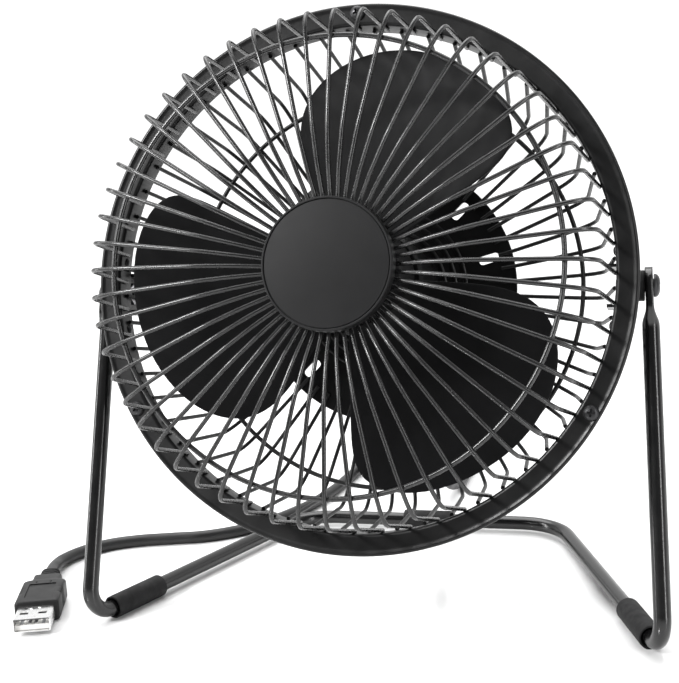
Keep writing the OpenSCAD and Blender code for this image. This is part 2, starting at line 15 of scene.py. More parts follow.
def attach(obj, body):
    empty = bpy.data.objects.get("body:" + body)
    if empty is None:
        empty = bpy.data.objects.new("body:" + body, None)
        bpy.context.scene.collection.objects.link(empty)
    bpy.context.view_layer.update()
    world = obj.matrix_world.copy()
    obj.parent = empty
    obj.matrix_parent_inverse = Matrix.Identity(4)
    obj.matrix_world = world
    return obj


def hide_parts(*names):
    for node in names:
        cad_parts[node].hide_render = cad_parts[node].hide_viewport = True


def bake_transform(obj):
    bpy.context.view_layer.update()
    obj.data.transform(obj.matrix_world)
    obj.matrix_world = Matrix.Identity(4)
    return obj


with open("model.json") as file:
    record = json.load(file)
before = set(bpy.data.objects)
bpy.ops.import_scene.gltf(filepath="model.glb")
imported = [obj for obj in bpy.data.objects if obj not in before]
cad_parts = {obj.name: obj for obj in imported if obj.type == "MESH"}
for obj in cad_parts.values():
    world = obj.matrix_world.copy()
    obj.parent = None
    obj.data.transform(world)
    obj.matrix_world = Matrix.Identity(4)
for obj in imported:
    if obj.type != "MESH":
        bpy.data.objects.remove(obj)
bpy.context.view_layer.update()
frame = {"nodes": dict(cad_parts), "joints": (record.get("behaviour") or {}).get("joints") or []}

# ------------------------------------------------------------------ frames

MM = 0.001
JOINTS = {joint["name"]: joint for joint in frame["joints"]}
SPIN = JOINTS["rotor_spin"]
FORWARD = Vector(SPIN["axis"]).normalized()
RIGHT = Vector((1, 0, 0))
PIVOT = Vector(JOINTS["head_tilt"]["pos_m"]) / MM
AXIS_Y = PIVOT.y
WORLD = Matrix.Scale(MM, 4)


def axes_at(origin, x, y, z):
    """A matrix that turns millimetres along the given axes into metres in the row frame."""
    turn = Matrix((x, y, z)).transposed().to_4x4()
    return Matrix.Translation(origin) @ turn @ Matrix.Scale(MM, 4)


HEAD = axes_at(Vector(SPIN["pos_m"]), RIGHT, FORWARD.cross(RIGHT), FORWARD)


def head_box(node):
    """Lowest and highest corner of a CAD node in the head's frame, in millimetres."""
    back = HEAD.inverted()
    points = [back @ v.co for v in frame["nodes"][node].data.vertices]
    low = Vector([min(p[k] for p in points) for k in range(3)])
    high = Vector([max(p[k] for p in points) for k in range(3)])
    return low, high


# ------------------------------------------------------------------ shapes
# A shape is a pair: points in millimetres, and faces that index them.


def skin(rings, caps=True, loop=False):
    """Faces between rings of equally many points. loop joins the last ring to the first."""
    count = len(rings[0])
    points = [p for ring in rings for p in ring]
    faces = []
    for i in range(len(rings) if loop else len(rings) - 1):
        a, b = i * count, (i + 1) % len(rings) * count
        faces += [(a + k, a + (k + 1) % count, b + (k + 1) % count, b + k) for k in range(count)]
    if caps and not loop:
        faces.append(tuple(range(count - 1, -1, -1)))
        faces.append(tuple(range(len(points) - count, len(points))))
    return points, faces


def merged(shapes):
    """Several shapes as one."""
    points, faces = [], []
    for more, some in shapes:
        faces += [tuple(i + len(points) for i in face) for face in some]
        points += list(more)
    return points, faces


def placed(shape, matrix):
    """A shape moved by a matrix, still in millimetres."""
    return [matrix @ Vector(p) for p in shape[0]], shape[1]


def turned(shape, axis, degrees):
    return placed(shape, Matrix.Rotation(math.radians(degrees), 4, axis))


def at(shape, x, y, z):
    return placed(shape, Matrix.Translation((x, y, z)))


def lathe(profile, segments):
    """A closed [radius, height] outline turned about z. Radius 0 makes a point on the axis."""
    rings = []
    for k in range(segments):
        a = 2 * math.pi * k / segments
        rings.append([Vector((r * math.cos(a), r * math.sin(a), z)) for r, z in profile])
    return skin(rings, loop=True)


def tube(points, radius, sides=12):
    """A round bar along points, whose section never twists."""
    points = [Vector(p) for p in points]
    last = len(points) - 1
    heads = [(points[min(i + 1, last)] - points[max(i - 1, 0)]).normalized() for i in range(last + 1)]
    side = heads[0].orthogonal().normalized()
    rings = []
    for point, head in zip(points, heads):
        side = (side - side.dot(head) * head).normalized()
        other = head.cross(side)
        turns = [2 * math.pi * k / sides for k in range(sides)]
        rings.append([point + radius * (math.cos(a) * side + math.sin(a) * other) for a in turns])
    return skin(rings)


def oblong(half_a, half_b, power, count=24):
    """Points round a superellipse: power 2 is an ellipse, and a high power is nearly a box."""
    points = []
    for k in range(count):
        c, s = math.cos(2 * math.pi * k / count), math.sin(2 * math.pi * k / count)
        points.append((
            half_a * math.copysign(abs(c) ** (2 / power), c),
            half_b * math.copysign(abs(s) ** (2 / power), s),
        ))
    return points


def loft(stations, count=32):
    """A bar along y through (y, half width, half height, power) stations."""
    return skin([
        [Vector((x, y, z)) for x, z in oblong(a, b, power, count)] for y, a, b, power in stations
    ])


def prism(outline, low, high):
    """An outline in x and y, between two heights."""
    return skin([[Vector((x, y, z)) for x, y in outline] for z in (low, high)])


def box(x0, x1, y0, y1, z0, z1):
    return prism([(x0, y0), (x1, y0), (x1, y1), (x0, y1)], z0, z1)


def disc(radius, low, high, sides=32):
    return prism(oblong(radius, radius, 2, sides), low, high)


def rounded(outline, radius, steps=5):
    """A closed outline with each corner rounded. A corner (x, y, r) has a radius of its own."""
    points = []
    n = len(outline)
    for i, corner in enumerate(outline):
        here = Vector(corner[:2])
        before = (Vector(outline[i - 1][:2]) - here)
        after = (Vector(outline[(i + 1) % n][:2]) - here)
        r = corner[2] if len(corner) > 2 else radius
        half = before.angle(after) / 2
        if r <= 0 or half > math.radians(88):
            points.append(tuple(here))
            continue
        reach = min(r / math.tan(half), 0.49 * before.length, 0.49 * after.length)
        a, b = here + before.normalized() * reach, here + after.normalized() * reach
        for k in range(steps + 1):
            t = k / steps
            points.append(tuple((1 - t) ** 2 * a + 2 * t * (1 - t) * here + t * t * b))
    return points


def soft_corners(points, reach):
    """An open path with its corners cut off three times over, each by no more than reach."""
    points = [Vector(p) for p in points]
    for _ in range(3):
        shorter = [points[0]]
        for a, b in zip(points, points[1:]):
            share = min(0.25, reach / (b - a).length)
            shorter += [a.lerp(b, share), b.lerp(a, share)]
        points = shorter[:1] + shorter[2:-2] + [points[-1]]
    return points


def smooth_path(points, steps=8):
    """A curve through the points."""
    points = [Vector(p) for p in points]
    ends = [2 * points[0] - points[1]] + points + [2 * points[-1] - points[-2]]
    path = []
    for p0, p1, p2, p3 in zip(ends, ends[1:], ends[2:], ends[3:]):
        for k in range(steps):
            t = k / steps
            path.append(0.5 * (
                2 * p1 + (p2 - p0) * t + (2 * p0 - 5 * p1 + 4 * p2 - p3) * t * t
                + (3 * p1 - p0 - 3 * p2 + p3) * t ** 3
            ))
    return path + [points[-1]]


def ease(t):
    """A smooth step from 0 to 1."""
    t = min(1, max(0, t))
    return t * t * (3 - 2 * t)


# ------------------------------------------------------------------ pieces


def make(name, shape, place, material, sharp=35):
    """A mesh object of a shape, smooth but for edges sharper than an angle in degrees."""
    build = bmesh.new()
    corners = [build.verts.new(place @ Vector(p)) for p in shape[0]]
    for face in shape[1]:
        build.faces.new([corners[i] for i in face])
    bmesh.ops.remove_doubles(build, verts=build.verts, dist=1e-6)
    bmesh.ops.dissolve_degenerate(build, edges=build.edges, dist=1e-7)
    bmesh.ops.recalc_face_normals(build, faces=build.faces)
    mesh = bpy.data.meshes.new(name)
    build.to_mesh(mesh)
    build.free()
    mesh.shade_smooth()
    mesh.set_sharp_from_angle(angle=math.radians(sharp))
    mesh.materials.append(material)
    made = bpy.data.objects.new(name, mesh)
    bpy.context.scene.collection.objects.link(made)
    return made


def apply_all(piece):
    """Replaces a piece's mesh by what its modifiers make of it."""
    graph = bpy.context.evaluated_depsgraph_get()
    mesh = bpy.data.meshes.new_from_object(piece.evaluated_get(graph))
    piece.modifiers.clear()
    piece.data = mesh


def cut(piece, shape, place, sharp=35):
    """Takes a shape away from a piece."""
    cutter = make(piece.name + "_cutter", shape, place, piece.data.materials[0])
    step = piece.modifiers.new("cut", "BOOLEAN")
    step.operation = "DIFFERENCE"
    step.solver = "EXACT"
    step.use_self = True
    step.object = cutter
    apply_all(piece)
    bpy.data.objects.remove(cutter)
    piece.data.shade_smooth()
    piece.data.set_sharp_from_angle(angle=math.radians(sharp))


def soften(piece, width, segments=2):
    """Rounds a piece's sharp edges. The width is in millimetres."""
    step = piece.modifiers.new("soften", "BEVEL")
    step.width = width * MM
    step.segments = segments
    step.limit_method = "ANGLE"
    step.angle_limit = math.radians(40)
    step.harden_normals = True
    apply_all(piece)


def mount(piece, body, slot, *nodes):
    """The piece moves with a body and stands for CAD nodes, which it hides. slot is not used."""
    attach(piece, body)
    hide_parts(*nodes)
    return piece


# ------------------------------------------------------------------ camera, light and floor

# The view that puts the hoop, cap, rings, pivots and base corners where the photo shows them
CAMERA_AT = Vector((0.0936, -0.3893, 0.1540))
CAMERA_TO = Vector((-0.0059, -0.0278, 0.0924))
CAMERA_ROLL = -2.85
CAMERA_LENS = 64.9
# Brightness of the room in front of the fan and of the white sweep behind it
ROOM = 0.14
SWEEP = 1.15


def add_camera():
    data = bpy.data.cameras.new("camera")
    data.lens = CAMERA_LENS
    data.sensor_width = 36
    data.sensor_fit = "HORIZONTAL"
    data.clip_start = 0.01
    camera = bpy.data.objects.new("camera", data)
    bpy.context.scene.collection.objects.link(camera)
    camera.rotation_mode = "QUATERNION"
    aim = (CAMERA_TO - CAMERA_AT).to_track_quat("-Z", "Y")
    camera.rotation_quaternion = aim @ Quaternion((0, 0, 1), math.radians(CAMERA_ROLL))
    camera.location = CAMERA_AT
    bpy.context.scene.camera = camera


def add_sun(name, towards, strength, width):
    """Even light from a direction. The width is the angle of its disc, in degrees."""
    data = bpy.data.lights.new(name, "SUN")
    data.energy = strength
    data.angle = math.radians(width)
    light = bpy.data.objects.new(name, data)
    light.rotation_mode = "QUATERNION"
    light.rotation_quaternion = Vector(towards).to_track_quat("Z", "Y")
    bpy.context.scene.collection.objects.link(light)


def add_softbox(name, azimuth, elevation, distance, size, power):
    """A rectangular light. Azimuth is to the right of straight ahead of the fan."""
    data = bpy.data.lights.new(name, "AREA")
    data.shape = "RECTANGLE"
    data.size, data.size_y = size
    data.energy = power
    turn, rise = math.radians(azimuth), math.radians(elevation)
    towards = Vector((
        math.sin(turn) * math.cos(rise), -math.cos(turn) * math.cos(rise), math.sin(rise)
    ))
    light = bpy.data.objects.new(name, data)
    light.location = Vector((0, 0, PIVOT.z * MM)) + distance * towards
    light.rotation_mode = "QUATERNION"
    light.rotation_quaternion = towards.to_track_quat("Z", "Y")
    light.visible_camera = False
    bpy.context.scene.collection.objects.link(light)


def add_studio():
    """A white sweep behind the fan, a dimmer room in front, soft light from above, a small key
    light, and softboxes that draw lines along the bars."""
    world = bpy.data.worlds.new("studio")
    world.use_nodes = True
    nodes, links = world.node_tree.nodes, world.node_tree.links
    split = nodes.new("ShaderNodeSeparateXYZ")
    links.new(nodes.new("ShaderNodeTexCoord").outputs["Generated"], split.inputs[0])
    spread = nodes.new("ShaderNodeMapRange")
    spread.interpolation_type = "SMOOTHSTEP"
    links.new(split.outputs["Y"], spread.inputs["Value"])
    for key, value in (("From Min", -0.35), ("From Max", 0.45), ("To Min", ROOM), ("To Max", SWEEP)):
        spread.inputs[key].default_value = value
    links.new(spread.outputs[0], nodes["Background"].inputs["Strength"])
    nodes["Background"].inputs["Color"].default_value = (1, 1, 1, 1)
    bpy.context.scene.world = world
    bpy.context.scene.view_settings.view_transform = "Standard"
    add_sun("overhead", (-0.15, 0.2, 1), 3.1, 60)
    add_sun("key", (-0.54, -0.64, 0.54), 2.6, 10)
    add_softbox("window", -40, 25, 1.0, (0.42, 0.34), 3.0)
    add_softbox("left strip", -78, 14, 0.9, (0.10, 0.9), 4.2)
    add_softbox("right strip", 52, 14, 0.9, (0.12, 0.9), 4.2)


# ------------------------------------------------------------------ materials


class Finish:
    """A procedural material. Lengths are in millimetres of the object."""

    def __init__(self, name, metallic=0.0, specular=0.5):
        self.material = bpy.data.materials.new(name)
        self.material.use_nodes = True
        self.tree = self.material.node_tree
        self.shader = self.tree.nodes["Principled BSDF"]
        self.shader.inputs["Metallic"].default_value = metallic
        self.shader.inputs["Specular IOR Level"].default_value = specular
        self.place = self.node("ShaderNodeTexCoord").outputs["Object"]

    def node(self, kind, **settings):
        made = self.tree.nodes.new(kind)
        for key, value in settings.items():
            setattr(made, key, value)
        return made

    def feed(self, socket, value):
        if isinstance(value, bpy.types.NodeSocket):
            self.tree.links.new(value, socket)
        elif isinstance(value, tuple) and len(value) == 3 and socket.type == "RGBA":
            socket.default_value = (*value, 1)
        else:
            socket.default_value = value

    def noise(self, size, detail=3.0, rough=0.5, stretch=None):
        """Noise whose features are about size across, drawn out by stretch along x, y and z."""
        place = self.place
        if stretch:
            mapping = self.node("ShaderNodeMapping")
            self.feed(mapping.inputs["Vector"], place)
            mapping.inputs["Scale"].default_value = [1 / s for s in stretch]
            place = mapping.outputs["Vector"]
        made = self.node("ShaderNodeTexNoise")
        self.feed(made.inputs["Vector"], place)
        self.feed(made.inputs["Scale"], 1 / (size * MM))
        self.feed(made.inputs["Detail"], detail)
        self.feed(made.inputs["Roughness"], rough)
        return made.outputs["Fac"]

    def cells(self, size):
        made = self.node("ShaderNodeTexVoronoi", feature="SMOOTH_F1")
        self.feed(made.inputs["Vector"], self.place)
        self.feed(made.inputs["Scale"], 1 / (size * MM))
        return made.outputs["Distance"]

    def fit(self, value, low, high, to_low=0.0, to_high=1.0):
        made = self.node("ShaderNodeMapRange", clamp=True)
        for key, number in zip(("Value", "From Min", "From Max", "To Min", "To Max"),
                               (value, low, high, to_low, to_high)):
            self.feed(made.inputs[key], number)
        return made.outputs["Result"]

    def math(self, kind, a, b):
        made = self.node("ShaderNodeMath", operation=kind)
        self.feed(made.inputs[0], a)
        self.feed(made.inputs[1], b)
        return made.outputs[0]

    def mix(self, share, a, b):
        made = self.node("ShaderNodeMix", data_type="RGBA")
        self.feed(made.inputs["Factor"], share)
        self.feed(made.inputs["A"], a)
        self.feed(made.inputs["B"], b)
        return made.outputs["Result"]

    def edges(self, width):
        """How much a point lies on a worn outer edge, from 0 to 1."""
        bevel = self.node("ShaderNodeBevel", samples=4)
        bevel.inputs["Radius"].default_value = width * MM
        facing = self.node("ShaderNodeVectorMath", operation="DOT_PRODUCT")
        self.feed(facing.inputs[0], bevel.outputs["Normal"])
        self.feed(facing.inputs[1], self.node("ShaderNodeNewGeometry").outputs["Normal"])
        return self.fit(facing.outputs["Value"], 0.98, 0.80)

    def colour(self, value):
        self.feed(self.shader.inputs["Base Color"], value)

    def roughness(self, value):
        self.feed(self.shader.inputs["Roughness"], value)

    def relief(self, *layers):
        """Bump layers of (height, depth)."""
        normal = None
        for height, depth in layers:
            bump = self.node("ShaderNodeBump")
            self.feed(bump.inputs["Height"], height)
            self.feed(bump.inputs["Distance"], depth * MM)
            if normal:
                self.feed(bump.inputs["Normal"], normal)
            normal = bump.outputs["Normal"]
        self.feed(self.shader.inputs["Normal"], normal)


def grey(value, blue=1.04):
    return (value, value, value * blue)


# How far a colour goes towards its worn tone along edges
WORN = 0.5


def powder_coat(name, low, high, rough, specular):
    """Baked black paint on metal: a slight orange peel, and paint rubbed thin along edges."""
    f = Finish(name, specular=specular)
    tone = f.mix(f.fit(f.noise(14), 0.35, 0.65), grey(low), grey(high))
    rub = f.math("MULTIPLY", f.edges(0.35), f.fit(f.noise(2.5), 0.42, 0.62))
    f.colour(f.mix(f.math("MULTIPLY", rub, WORN), tone, grey(0.05)))
    f.roughness(f.fit(f.noise(6, 4), 0.3, 0.7, *rough))
    f.relief((f.noise(1.1, 2), 0.02), (f.noise(0.35, 1), 0.004))
    return f.material


def wire_coat(name, specular, rough):
    """Dipped paint on wire, with a satin sheen and faint runs."""
    f = Finish(name, specular=specular)
    f.colour(f.mix(f.fit(f.noise(9), 0.35, 0.65), grey(0.003), grey(0.006)))
    f.roughness(f.fit(f.noise(4, 3), 0.3, 0.7, *rough))
    f.relief((f.noise(1.6, 2), 0.03))
    return f.material


def moulded(name, low, high, rough, grain, depth, specular, worn=False):
    """Moulded plastic with a fine sparked texture. grain is its size and depth its height."""
    f = Finish(name, specular=specular)
    tone = f.mix(f.fit(f.noise(22), 0.3, 0.7), grey(low), grey(high))
    if worn:
        rub = f.math("MULTIPLY", f.edges(0.3), f.fit(f.noise(1.8), 0.4, 0.65))
        tone = f.mix(f.math("MULTIPLY", rub, WORN), tone, grey(high * 2.6))
    f.colour(tone)
    f.roughness(f.fit(f.noise(8, 4), 0.3, 0.7, *rough))
    f.relief((f.cells(grain), depth), (f.noise(grain * 3.2, 2), depth * 0.6))
    return f.material


def rubber():
    f = Finish("rubber", specular=0.3)
    dust = f.fit(f.noise(1.2, 5, 0.7), 0.60, 0.78, 0, 0.35)
    f.colour(f.mix(dust, grey(0.008), grey(0.03, 0.96)))
    f.roughness(f.fit(f.noise(3, 4), 0.3, 0.7, 0.62, 0.85))
    f.relief((f.noise(0.5, 3), 0.03), (f.noise(3, 2), 0.05))
    return f.material


def jacket():
    """Soft PVC over the twisted cores, which show as a very faint lay."""
    f = Finish("cord_jacket", specular=0.45)
    f.colour(f.mix(f.fit(f.noise(12), 0.3, 0.7), grey(0.006), grey(0.011)))
    f.roughness(f.fit(f.noise(5, 3), 0.3, 0.7, 0.40, 0.56))
    f.relief((f.noise(0.7, 3), 0.02), (f.noise(5, 1), 0.08))
    return f.material


def screw_black():
    f = Finish("black_screws", metallic=0.75, specular=0.5)
    wear = f.math("MULTIPLY", f.edges(0.2), f.fit(f.noise(0.9), 0.42, 0.6))
    f.colour(f.mix(f.math("MULTIPLY", wear, 0.6), grey(0.035), grey(0.22)))
    f.roughness(f.fit(f.noise(1.5, 4), 0.3, 0.7, 0.28, 0.5))
    f.relief((f.noise(0.4, 2), 0.012))
    return f.material


def brushed_steel():
    f = Finish("bare_steel", metallic=1.0)
    lines = f.noise(0.25, 3, 0.6, stretch=(12, 1, 1))
    f.colour(f.mix(f.fit(lines, 0.3, 0.7), grey(0.42), grey(0.58, 1.02)))
    f.roughness(f.fit(f.noise(3, 4), 0.3, 0.7, 0.26, 0.42))
    f.relief((lines, 0.008))
    return f.material


def nickel():
    """Thin plating over pressed steel: rolling lines, scuffs and small scratches."""
    f = Finish("plug_steel", metallic=1.0)
    lines = f.noise(0.18, 2, 0.6, stretch=(1, 14, 1))
    scuff = f.fit(f.noise(1.4, 5, 0.65), 0.52, 0.70)
    f.colour(f.mix(scuff, grey(0.80, 1.0), grey(0.66, 0.98)))
    f.roughness(f.math("ADD", f.fit(lines, 0.3, 0.7, 0.14, 0.24), f.math("MULTIPLY", scuff, 0.10)))
    f.relief((lines, 0.004))
    return f.material


def tongue_white():
    f = Finish("tongue_plastic", specular=0.45)
    f.colour(f.mix(f.fit(f.noise(4), 0.3, 0.7), (0.72, 0.71, 0.68), (0.82, 0.81, 0.79)))
    f.roughness(f.fit(f.noise(1.5, 3), 0.3, 0.7, 0.35, 0.5))
    f.relief((f.noise(0.4, 2), 0.01))
    return f.material


FINISH = {
    "black_paint": powder_coat("black_paint", 0.003, 0.006, (0.28, 0.36), 0.30),
    "stand_paint": powder_coat("stand_paint", 0.003, 0.005, (0.17, 0.23), 0.55),
    "wire_paint": wire_coat("wire_paint", 0.62, (0.24, 0.30)),
    # The same wire paint with a duller reflection: painted shade for the rear grille and ring inside
    # the cage
    "rear_wire_paint_painted_shade": wire_coat("rear_wire_paint_painted_shade", 0.3, (0.38, 0.46)),
    "cap_plastic": moulded("cap_plastic", 0.007, 0.010, (0.40, 0.48), 0.22, 0.012, 0.16),
    "black_plastic": moulded("black_plastic", 0.005, 0.008, (0.46, 0.60), 0.35, 0.03, 0.3, worn=True),
    "blade_plastic": moulded("blade_plastic", 0.005, 0.008, (0.36, 0.46), 0.30, 0.015, 0.04),
    "rubber": rubber(),
    "cord_jacket": jacket(),
    "black_screws": screw_black(),
    "bare_steel": brushed_steel(),
    "plug_steel": nickel(),
    "tongue_plastic": tongue_white(),
}

# ------------------------------------------------------------------ lead

CORD_R = 2.3
CORD_D = 2 * CORD_R
GLAND_LOW = head_box("cord_gland")[0]
GLAND_Y = 0.5 * (GLAND_LOW.y + head_box("cord_gland")[1].y)
LEAD_START = HEAD @ Vector((0, GLAND_Y, GLAND_LOW.z - 0.05)) / MM
LEAD_STRAIGHT = HEAD @ Vector((0, GLAND_Y, GLAND_LOW.z - 10)) / MM
# The route, with y counted from the tilt axis
DROP = [
    (0, 77, 76.6), (0, 86, 69.5), (0, 93, 60), (1, 98, 49), (1, 102, 38), (1, 107, 27),
    (2, 114, 17), (2, 123, 9.5), (2, 134, 4.8), (3, 146, 2.6), (3, 158, 2.3), (3, 172, 2.3),
    (3, 185, 2.3),
]
LEAD = [
    (-47, 187, 6.9), (-47, 174, 4.3), (-48, 160, 2.3), (-49, 146, 2.3), (-50, 132, 2.3),
    (-52, 118, 2.3), (-55, 105, 2.3), (-60, 92, 2.3), (-66, 80, 2.3), (-74, 70, 2.3),
    (-85, 62, 2.3), (-97, 58, 2.3), (-109, 54, 2.3), (-119, 48, 2.3), (-126, 39, 2.3),
    (-129, 28, 2.5), (-127, 17, 3.4), (-123.6, 8.6, 3.8),
]
COIL_CENTRE = Vector((-22, 192 + AXIS_Y, 0))
COIL_MEAN = 23
COIL_TURNS = 5.5
# Where a turn moves to its next place, as (turn, start angle, end angle, change of radius, of height)
COIL_SHIFTS = [
    (0, 280, 352, -1, 0), (1, 265, 330, 0, 1), (2, 265, 330, 0, 1), (3, 215, 320, 1, 0),
    (4, 205, 270, 0, -1),
]


def coil_point(angle):
    """The middle of the lead in its coil, from where it enters the coil's lowest outer turn."""
    r, z = COIL_MEAN + CORD_R, CORD_R
    for turn, start, end, out, up in COIL_SHIFTS:
        share = ease((angle - 360 * turn - start) / (end - start))
        r += out * CORD_D * share
        z += up * CORD_D * share
    a = math.radians(angle)
    return COIL_CENTRE + Vector((r * math.cos(a), r * math.sin(a), z))


def lead_path():
    """The whole route of the lead, from the strain relief to the plug."""
    shift = Vector((0, AXIS_Y, 0))
    drop = [LEAD_START, LEAD_STRAIGHT] + [Vector(p) + shift for p in DROP]
    coil = [coil_point(a) for a in range(0, int(360 * COIL_TURNS) + 1, 6)]
    lead = [Vector(p) + shift for p in LEAD]
    first = smooth_path(drop + [coil[0]], 8)[:-1]
    last = smooth_path([coil[-1]] + lead, 8)[1:]
    return [Vector((p.x, p.y, max(p.z, CORD_R))) for p in first + coil + last]


def add_lead():
    path = lead_path()
    lead = make("lead", tube(path, CORD_R - 0.02, 16), WORLD, FINISH["cord_jacket"])
    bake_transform(lead)
    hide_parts("cord_drop", "cord_coil", "cord_lead")
    return lead, path


def add_tie():
    """Strap round the coil's turns, with its end lapped over."""
    half_w, high, thick, wide = CORD_D, 6 * CORD_R, 0.7, 4.0

    def section(x, low, top, radius):
        return rounded([(-x, low), (x, low), (x, top), (-x, top)], radius, 6)

    outer = section(half_w + thick, 0, high + thick, 2.2)
    inner = section(half_w, thick, high, 1.9)
    rings = []
    for side, line in ((-wide, outer), (wide, outer), (wide, inner), (-wide, inner)):
        rings.append([Vector((side / 2, x, z)) for x, z in line])
    strap = skin(rings, loop=True)
    lap_x = wide / 2 - 0.15
    lap = box(-lap_x, lap_x, -half_w * 0.55, half_w * 0.6, high + 0.6, high + 1.3)
    shape = at(merged([strap, lap]), COIL_CENTRE.x, COIL_CENTRE.y + COIL_MEAN, 0)
    tie = make("cord_tie_strap", shape, WORLD, FINISH["black_plastic"])
    soften(tie, 0.12)
    return mount(tie, "stand", "black_plastic", "cord_tie")


# ------------------------------------------------------------------ plug

PLUG_TAIL = Vector((-123.6, 8.6 + AXIS_Y, 0))
PLUG_DIR = Vector((0.35, -0.94, 0)).normalized()
PLUG = axes_at(PLUG_TAIL * MM, PLUG_DIR.cross(Vector((0, 0, 1))), PLUG_DIR, Vector((0, 0, 1)))
PLUG_Z = 3.8
RELIEF_END = 6.1
NECK_END = 12.3
WIDE_START = 14.6
SHELL_START = 35.0
SHELL_L = 12.0


def add_plug_relief():
    """Tapered sleeve with three ribs, flattened above and below."""
    stations = [(-0.6, 2.42, 2.42, 2)]
    for i in range(3):
        y = 0.2 + 2 * i
        stations += [(y, 2.6, 2.6, 2), (y + 0.08, 3.35, 2.9, 3), (y + 0.2, 3.45, 3.0, 3),
                     (y + 0.9, 3.45, 3.0, 3), (y + 1.02, 3.35, 2.9, 3), (y + 1.1, 2.7, 2.7, 2)]
    stations.append((RELIEF_END + 0.4, 2.9, 2.9, 2))
    relief = make("plug_sleeve", at(loft(stations), 0, 0, PLUG_Z), PLUG, FINISH["rubber"], 50)
    return mount(relief, "stand", "rubber", "plug_relief")


def add_plug_body():
    """Moulded body: neck, shoulder, grip grooves at the sides and a sunk panel on each face."""
    w, h, nw, nh = 7.4, 3.8, 4.9, 3.2
    stations = [(RELIEF_END, nw - 0.9, nh - 0.7, 5), (RELIEF_END + 0.3, nw - 0.25, nh - 0.2, 6),
                (RELIEF_END + 0.9, nw, nh, 7), (NECK_END - 0.4, nw, nh, 7),
                (NECK_END + 0.2, nw + 0.35, nh + 0.1, 7), (WIDE_START - 0.3, w - 0.35, h - 0.1, 8),
                (WIDE_START + 0.4, w, h, 8)]
    for i in range(5):
        y = SHELL_START - 13 + 1.1 * i
        stations += [(y, w, h, 8), (y + 0.15, w - 0.3, h, 8)]
        stations += [(y + 0.5, w - 0.3, h, 8), (y + 0.65, w, h, 8)]
    stations += [(SHELL_START - 0.8, w, h, 8), (SHELL_START - 0.25, w - 0.2, h - 0.2, 8),
                 (SHELL_START, w - 0.8, h - 0.7, 8)]
    body = make("plug_grip", at(loft(stations, 64), 0, 0, PLUG_Z), PLUG, FINISH["black_plastic"], 50)
    panel = rounded([(-4.6, 18.2), (4.6, 18.2), (4.6, 31.4), (-4.6, 31.4)], 0.6)
    top, low = PLUG_Z + h, PLUG_Z - h
    pockets = [prism(panel, top - 0.35, top + 1), prism(panel, low - 1, low + 0.35)]
    pockets += [at(disc(0.45, top - 0.5, top + 1, 16), x, 16.6, 0) for x in (-2.45, 2.45)]
    cut(body, merged(pockets), PLUG, 50)
    return mount(body, "stand", "black_plastic", "plug_body")


def add_plug_shell():
    """Folded steel shell with two latch windows a side and a pressed oval."""
    w, h, t, end = 6.0, 2.25, 0.35, SHELL_START + SHELL_L
    outer, inner = (rounded([(-a, -b), (a, -b), (a, b), (-a, b)], r, 4)
                    for a, b, r in ((w, h, 0.7), (w - t, h - t, 0.4)))
    rings = []
    back = SHELL_START - 1
    for outline, y in ((outer, back), (outer, end - 0.12), (inner, end), (inner, back)):
        rings.append([Vector((x, y, z)) for x, z in outline])
    shell = make("plug_case", at(skin(rings, loop=True), 0, 0, PLUG_Z), PLUG, FINISH["plug_steel"], 50)
    holes = [at(box(-1.35, 1.35, SHELL_START + 5.3, SHELL_START + 7.7, z, z + 2), x, 0, PLUG_Z)
             for x in (-3, 3) for z in (h - 1, -h - 1)]
    oval = lathe([(1.0 + 0.16 * math.cos(a), 0.13 * math.sin(a)) for a in
                  (2 * math.pi * k / 8 for k in range(8))], 40)
    stretched = placed(oval, Matrix.Diagonal((1.7, 0.75, 1, 1)))
    holes.append(at(stretched, 0, SHELL_START + 2.7, PLUG_Z + h))
    cut(shell, merged(holes), PLUG, 50)
    return mount(shell, "stand", "plug_steel", "plug_shell")


def add_plug_tongue():
    """Insulating tongue with its four contacts."""
    low = PLUG_Z - 1.85
    shape = box(-5.6, 5.6, SHELL_START, SHELL_START + 11, low, low + 1.7)
    tongue = make("plug_insert", shape, PLUG, FINISH["tongue_plastic"])
    soften(tongue, 0.15)
    mount(tongue, "stand", "tongue_plastic", "plug_tongue")
    pads = [box(x - 0.5, x + 0.5, SHELL_START + 1, SHELL_START + reach, low + 1.6, low + 1.82)
            for x, reach in ((-3.5, 10.4), (-1, 9.4), (1, 9.4), (3.5, 10.4))]
    contacts = make("plug_contacts", merged(pads), PLUG, FINISH["bare_steel"])
    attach(contacts, "stand")
    return tongue, contacts


# ------------------------------------------------------------------ stand

TUBE_R = 2.6
TAB_X = 87.3
TAB_T = 2.4
TAB_R = 5.6
BASE_Z = 3.6
FRONT_CORNER = Vector((91, AXIS_Y - 27, BASE_Z))
REAR_CORNER = Vector((51, AXIS_Y + 88, BASE_Z))
FRONT_BEND = 8
REAR_BEND = 20
LEG_TOP = Vector((TAB_X, AXIS_Y, PIVOT.z))
LEG_DIR = (FRONT_CORNER - LEG_TOP).normalized()
SIDE_DIR = (REAR_CORNER - FRONT_CORNER).normalized()
SLEEVE_R = 3.8


def bend(corner, before, after, radius, steps):
    """Points round a corner, from direction before to direction after."""
    turn = before.angle(after)
    start = corner - before * radius * math.tan(turn / 2)
    centre = corner + (after - before).normalized() * radius / math.cos(turn / 2)
    points = []
    for i in range(steps + 1):
        a = turn * i / steps
        points.append(centre + (start - centre) * math.cos(a) + before * radius * math.sin(a))
    return points


